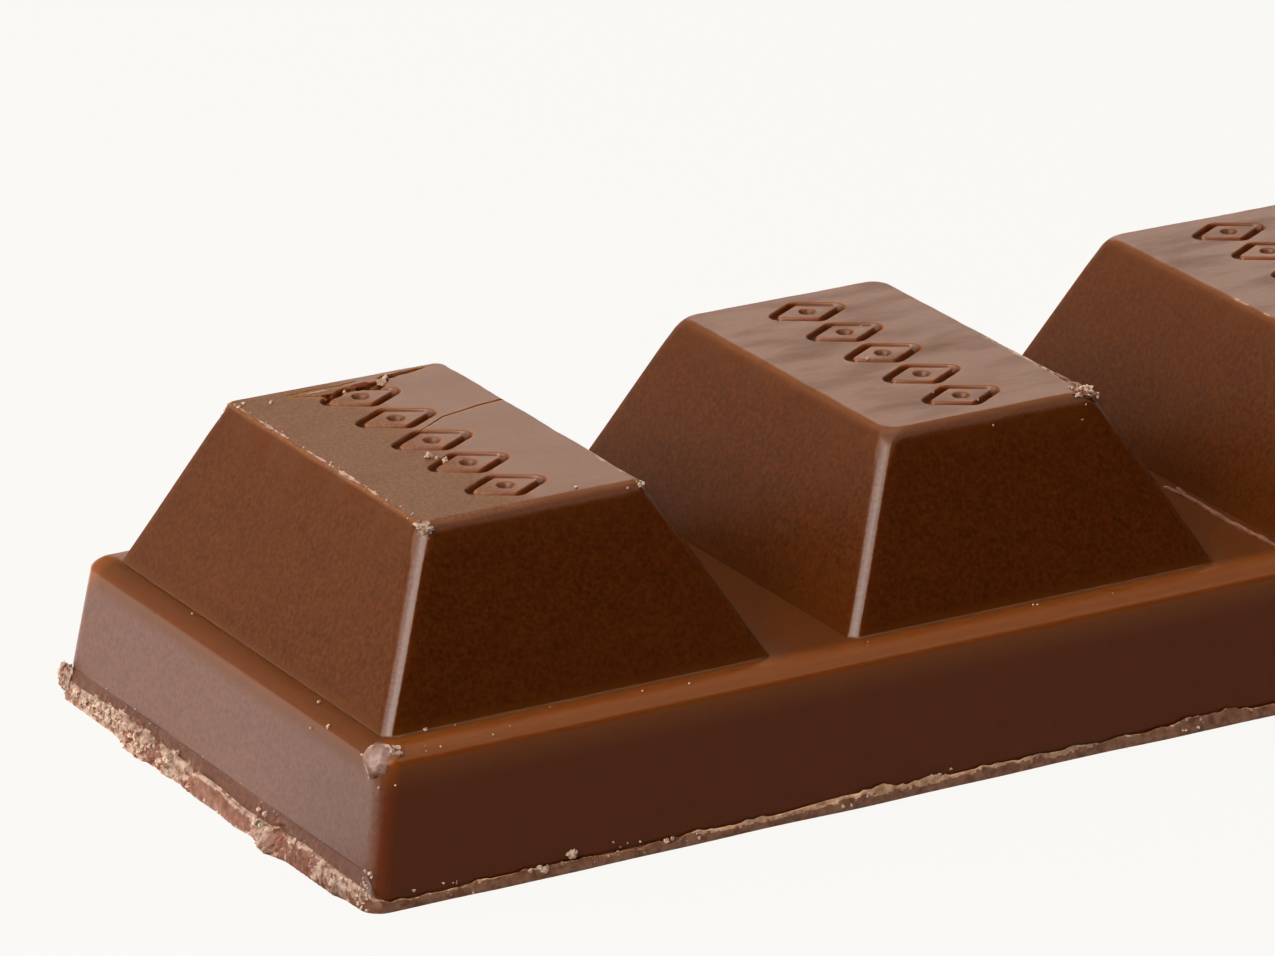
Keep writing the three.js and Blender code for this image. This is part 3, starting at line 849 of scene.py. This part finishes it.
def make_crumbs(bar):
    """Crumbs that lie on the bar, each settled on the surface nearest to its place."""
    tree = BVHTree.FromObject(bar, bpy.context.evaluated_depsgraph_get())
    draw = random.Random(3)
    crumbs = []

    def settle(place, size):
        spot, normal, _, _ = tree.find_nearest(Vector(place) * MM)
        centre = np.array(spot) / MM + np.array(normal) * size * 0.22
        shape = [size * draw.uniform(0.7, 1.3) for _ in range(3)]
        seed = draw.randrange(1000)
        detail = 3 if size > 0.2 else 2
        crumb = lump(centre, shape, seed, 0.5, CRUMBLED, detail)
        lowest = min(vertex.co.z for vertex in crumb.data.vertices)
        crumb.data.transform(Matrix.Translation((0, 0, max(0.0, -lowest))))
        crumbs.append(crumb)

    def scatter(count, sizes, *ranges):
        for _ in range(count):
            place = [draw.uniform(*span) for span in ranges]
            settle(place, sizes[0] + (sizes[1] - sizes[0]) * draw.random() ** 2)

    def scatter_round(middle, count, spread, sizes):
        for _ in range(count):
            place = middle + np.array([draw.gauss(0, spread) for _ in range(3)])
            settle(place, draw.uniform(*sizes))

    end = SIZE[0] / 2
    for side in (-1, 1):
        for count, sizes, inward, across, heights in END_CRUMBS:
            along = sorted(side * (end - distance) for distance in inward)
            scatter(count, sizes, along, sorted(side * y for y in across), heights)
    near = -SIZE[1] / 2
    for x, count in SIDE_CRUMBS:
        scatter(count, (0.06, 0.22), (x - 0.8, x + 0.8), (near, near + 0.2), (0.1, 0.9))
        scatter(count, (0.06, 0.2), (-x - 0.8, -x + 0.8), (-near - 0.2, -near), (0.1, 0.8))
    first, last = crown_edge(0, *LEFT_EDGE, inward=0.2)
    for _ in range(34):
        scatter_round(first + (last - first) * draw.random(), 1, 0.07, (0.05, 0.1))
    scatter_round(crown_corner(0, LEFT, NEAR), 8, 0.35, (0.05, 0.1))
    scatter_round(crown_corner(0, LEFT, BACK), 10, 0.4, (0.05, 0.12))
    scatter_round(crown_corner(0, RIGHT, NEAR), 8, 0.3, (0.06, 0.16))
    inward = np.array((-0.35, 0.4, -0.05))
    scatter_round(crown_corner(1, RIGHT, NEAR) + inward, 44, 0.36, (0.07, 0.22))
    for *place, size in PLACED_CRUMBS:
        settle(place, size)
    for _ in range(70):
        x = draw.uniform(-72, 74)
        side = draw.choice((-1, 1))
        settle((x, side * draw.uniform(13.6, 14.9), 7.2), draw.uniform(0.05, 0.12))
    return join("crumbs", crumbs)


def feed(tree, socket, value):
    """Links a socket to another one, or sets it to a value."""
    if isinstance(value, bpy.types.NodeSocket):
        tree.links.new(value, socket)
    else:
        socket.default_value = value


def set_inputs(tree, node, **inputs):
    """Links or sets a node's inputs by name. An underscore stands for a space."""
    for name, value in inputs.items():
        feed(tree, node.inputs[name.replace("_", " ")], value)


def add_node(tree, kind, **inputs):
    """A new node with its inputs."""
    node = tree.nodes.new("ShaderNode" + kind)
    set_inputs(tree, node, **inputs)
    return node


def noise_at(tree, position, scale, detail=3.0, roughness=0.55):
    """Noise of a scale counted in waves a metre."""
    node = add_node(tree, "TexNoise", Vector=position, Scale=scale, Detail=detail,
                    Roughness=roughness)
    return node.outputs["Fac"]


def map_range(tree, value, low_in, high_in, low_out=0.0, high_out=1.0):
    """A value's place in one range carried over to another, and held inside it."""
    node = add_node(tree, "MapRange", Value=value, From_Min=low_in, From_Max=high_in,
                    To_Min=low_out, To_Max=high_out)
    return node.outputs[0]


def mix_colours(tree, factor, first, second):
    """The first colour where the factor is 0, the second where it is 1."""
    node = tree.nodes.new("ShaderNodeMix")
    node.data_type = "RGBA"
    tree.links.new(factor, node.inputs["Factor"])
    for socket, colour in ((node.inputs[6], first), (node.inputs[7], second)):
        feed(tree, socket, (*colour, 1) if isinstance(colour, tuple) else colour)
    return node.outputs[2]


def maths(tree, operation, *values):
    """The result of a sum on sockets or numbers."""
    node = tree.nodes.new("ShaderNodeMath")
    node.operation = operation
    for socket, value in zip(node.inputs, values):
        feed(tree, socket, value)
    return node.outputs[0]


def new_material(name):
    """A material, its nodes, its shader, and the place on the object."""
    material = bpy.data.materials.new(name)
    material.use_nodes = True
    tree = material.node_tree
    shader = tree.nodes["Principled BSDF"]
    position = add_node(tree, "TexCoord").outputs["Object"]
    return material, tree, shader, position


def set_bump(tree, shader, height, depth):
    """A fine relief, its depth in millimetres."""
    bump = add_node(tree, "Bump", Height=height, Strength=0.4, Distance=depth * MM)
    set_inputs(tree, shader, Normal=bump.outputs[0])


def set_translucence(tree, shader, depth, spread):
    """Light that sinks in and comes out redder.

    depth is how far red light goes, in millimetres, and spread is each colour's share of it.
    """
    set_inputs(tree, shader, IOR=1.5, Subsurface_Weight=1.0, Subsurface_Radius=spread,
               Subsurface_Scale=depth * MM)


def make_skin():
    """The cast skin of the chocolate: satin, painted lighter along thin edges as a glow, with a
    painted bounce on the long walls, a painted sheen on the crowns and a painted grey reflection
    on the end walls.
    """
    material, tree, shader, position = new_material("milk chocolate")
    x, y, z = add_node(tree, "SeparateXYZ", Vector=position).outputs
    shade = map_range(tree, noise_at(tree, position, 180.0), 0.3, 0.7)
    colour = mix_colours(tree, shade, *SKIN_BROWNS)
    mottle = noise_at(tree, position, 4200.0, 2.0)
    shade = map_range(tree, mottle, 0.33, 0.67)
    colour = mix_colours(tree, shade, colour, MOTTLE_BROWN)

    # Painted light: a warmer brown along thin edges, just below the crowns' edges and on the long
    # walls' rims, as a glow where light seeps through, and a redder brown on the long walls as
    # bounce
    rim = map_range(tree, z, 5.4 * MM, 6.7 * MM)
    rim = maths(tree, "MULTIPLY", rim, map_range(tree, z, 7.45 * MM, 7.9 * MM, 1.0, 0.0))
    brow_glow = map_range(tree, z, (CROWN_HEIGHT - 1.5) * MM, (CROWN_HEIGHT - 0.3) * MM, 0.0, 0.5)
    colour = mix_colours(tree, maths(tree, "MAXIMUM", rim, brow_glow), colour, EDGE_GLOW_BROWN)
    width = maths(tree, "ABSOLUTE", y)
    rim = maths(tree, "MULTIPLY", rim, map_range(tree, width, 13.0 * MM, 13.8 * MM))
    # Painted bounce: the long walls take a redder brown for the warm light bounced onto them
    wall = map_range(tree, width, 14.7 * MM, 15.0 * MM, 0.0, 0.85)
    colour = mix_colours(tree, wall, colour, WALL_BOUNCE_BROWN)
    # Painted glow: the long walls' rims take a lighter, redder brown
    colour = mix_colours(tree, rim, colour, RIM_GLOW_BROWN)

    # Painted sheen: the crowns a lighter brown for the sheen they catch. Streaks on the crowns,
    # and the dusty wear on the first
    crown = map_range(tree, z, (CROWN_HEIGHT - 0.25) * MM, (CROWN_HEIGHT - 0.05) * MM)
    stretched = add_node(tree, "Mapping", Vector=position, Scale=(0.3, 1.0, 1.0))
    streaks = noise_at(tree, stretched.outputs[0], 620.0)
    streak = map_range(tree, streaks, 0.45, 0.75)
    streak = maths(tree, "MULTIPLY", streak, crown)
    calm = map_range(tree, x, -54.0 * MM, -48.0 * MM, 0.2, 0.9)
    streak = maths(tree, "MULTIPLY", streak, calm)
    uneven = noise_at(tree, position, 700.0)
    place = maths(tree, "MULTIPLY_ADD", uneven, 2.0 * MM, x)
    worn = maths(tree, "MULTIPLY", map_range(tree, place, -61.3 * MM, -62.7 * MM), crown)
    dust = map_range(tree, noise_at(tree, position, 6000.0, 2.0), 0.35, 0.75)
    # Painted sheen: the crown tops take a lighter brown
    colour = mix_colours(tree, crown, colour, CROWN_SHEEN_BROWN)
    colour = mix_colours(tree, worn, colour, mix_colours(tree, dust, *WORN_BROWNS))
    colour = mix_colours(tree, streak, colour, STREAK_BROWN)

    # Painted reflection: a grey film on the end walls, short of the rim and of the flash, standing
    # in for the bright ground reflected there
    taper = (SLAB_FOOT[0] - SLAB_TOP[0]) / 2 / SLAB_DEPTH
    depth = maths(tree, "MULTIPLY_ADD", z, taper, maths(tree, "ABSOLUTE", x))
    end = SLAB_FOOT[0] / 2
    end_reflection = map_range(tree, depth, (end - 0.35) * MM, (end - 0.1) * MM)
    end_reflection = maths(tree, "MULTIPLY", end_reflection, map_range(tree, z, 5.7 * MM, 6.3 * MM, 1.0, 0.0))
    beyond = map_range(tree, depth, (end + 0.12) * MM, (end + 0.3) * MM, 1.0, 0.0)
    end_reflection = maths(tree, "MULTIPLY", end_reflection, beyond)
    reflection_share = map_range(tree, mottle, 0.3, 0.7, 0.3, 0.55)
    colour = mix_colours(tree, maths(tree, "MULTIPLY", end_reflection, reflection_share), colour, END_REFLECTION_GREY)

    rough = map_range(tree, mottle, 0.3, 0.7, 0.285, 0.325)
    for share, more in ((worn, 0.2), (streak, 0.14), (end_reflection, 0.08)):
        rough = maths(tree, "MULTIPLY_ADD", share, more, rough)
    set_inputs(tree, shader, Base_Color=colour, Roughness=rough)
    set_bump(tree, shader, noise_at(tree, position, 2600.0, 2.0), 0.012)
    set_translucence(tree, shader, 1.3, (1.0, 0.42, 0.16))
    return material


def make_dull(name, dark, pale, spread, roughness):
    """Chocolate whose skin is gone: two shades of brown in a fine crumb."""
    material, tree, shader, position = new_material(name)
    patches = noise_at(tree, position, 2200.0, 3.0, 0.6)
    share = map_range(tree, patches, *spread)
    colour = mix_colours(tree, share, dark, pale)
    set_inputs(tree, shader, Base_Color=colour, Roughness=roughness)
    set_bump(tree, shader, noise_at(tree, position, 3500.0, 4.0), 0.05)
    set_translucence(tree, shader, 0.2, (1.0, 0.75, 0.55))
    return material


def soft_box(name, azimuth, elevation, spread, radiance, distance):
    """A soft box that shines at the first chunks, as far to each side as its spread in degrees."""
    size = [2 * distance * tan(radians(angle)) for angle in spread]
    azimuth, elevation = radians(azimuth), radians(elevation)
    towards = Vector((
        cos(azimuth) * cos(elevation),
        sin(azimuth) * cos(elevation),
        sin(elevation),
    ))
    data = bpy.data.lights.new(name, "AREA")
    data.shape = "RECTANGLE"
    data.size, data.size_y = size
    data.energy = radiance * pi * size[0] * size[1]
    obj = add_object(name, data)
    obj.location = Vector(LIT_PLACE) + towards * distance
    obj.rotation_mode = "QUATERNION"
    obj.rotation_quaternion = towards.to_track_quat("Z", "Y")
    obj.visible_camera = False


def make_lights():
    """Soft boxes all round, the brightest at the front left, and a backdrop without light."""
    for light in LIGHTS:
        soft_box(*light)
    world = bpy.data.worlds.new("studio")
    world.use_nodes = True
    tree = world.node_tree
    path = add_node(tree, "LightPath")
    set_inputs(tree, tree.nodes["Background"], Color=BACKGROUND,
               Strength=path.outputs["Is Camera Ray"])
    bpy.context.scene.world = world


def floor_piece(name, points, emission, albedo=0.0):
    """A flat piece of the ground, which shines of itself and catches some light."""
    mesh = bpy.data.meshes.new(name)
    mesh.from_pydata(points, [], [tuple(range(len(points)))])
    obj = add_object(name, mesh)
    material = bpy.data.materials.new(name)
    material.use_nodes = True
    tree = material.node_tree
    set_inputs(tree, tree.nodes["Principled BSDF"], Base_Color=(albedo, albedo, albedo, 1),
               Roughness=1.0, Specular_IOR_Level=0.0, Emission_Color=(*emission, 1),
               Emission_Strength=1.0)
    mesh.materials.append(material)
    return obj


def make_floor():
    """The pale ground that the camera sees, and the glow that it casts on the bar."""
    square = [(FLOOR_REACH * x, FLOOR_REACH * y, 0) for x, y in CORNERS]
    ground = floor_piece("floor", square, FLOOR_GLOW, FLOOR_ALBEDO)
    for ray in ("diffuse", "glossy", "transmission", "volume_scatter", "shadow"):
        setattr(ground, "visible_" + ray, False)
    for name, start, end, glow in GLOWS:
        points = [(LIT_PLACE[0], 0, -GLOW_DEPTH)]
        points += [on_circle(LIT_PLACE, GLOW_REACH, radians(angle), -GLOW_DEPTH)
                   for angle in np.linspace(start, end, 13)]
        piece = floor_piece(name, points, (glow, glow, glow))
        piece.visible_camera = False


def make_camera():
    """The camera of the photograph: it looks at the first chunk's foot from the front left."""
    azimuth, elevation, roll = [radians(angle) for angle in CAMERA_TURN.values()]
    back = Vector((
        sin(azimuth) * cos(elevation),
        -cos(azimuth) * cos(elevation),
        sin(elevation),
    ))
    level = Vector((0, 0, 1)).cross(back).normalized()
    raised = back.cross(level)
    right = level * cos(roll) + raised * sin(roll)
    up = raised * cos(roll) - level * sin(roll)
    across = (AIM_PIXEL[0] - IMAGE[0] / 2) / CAMERA_FOCAL
    upward = (IMAGE[1] / 2 - AIM_PIXEL[1]) / CAMERA_FOCAL
    aim = Vector((CHUNK_MIDDLES[0], 0, SLAB_DEPTH))
    place = aim + (back - right * across - up * upward) * CAMERA_DISTANCE
    data = bpy.data.cameras.new("camera")
    data.sensor_width = SENSOR
    data.lens = CAMERA_FOCAL / IMAGE[0] * SENSOR
    camera = add_object("camera", data)
    turn = Matrix((right, up, back)).transposed().to_4x4()
    camera.matrix_world = Matrix.Translation(place * MM) @ turn
    bpy.context.scene.camera = camera


finishes.append(make_skin())
finishes.extend(make_dull(*look) for look in DULL_FINISHES)
bar = make_bar()
crumbs = make_crumbs(bar)
for piece in (bar, crumbs):
    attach(piece, "root")
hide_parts(NODE)

make_floor()
make_lights()
make_camera()
bpy.context.scene.view_settings.view_transform = "Standard"
bpy.context.scene.view_settings.look = "High Contrast"
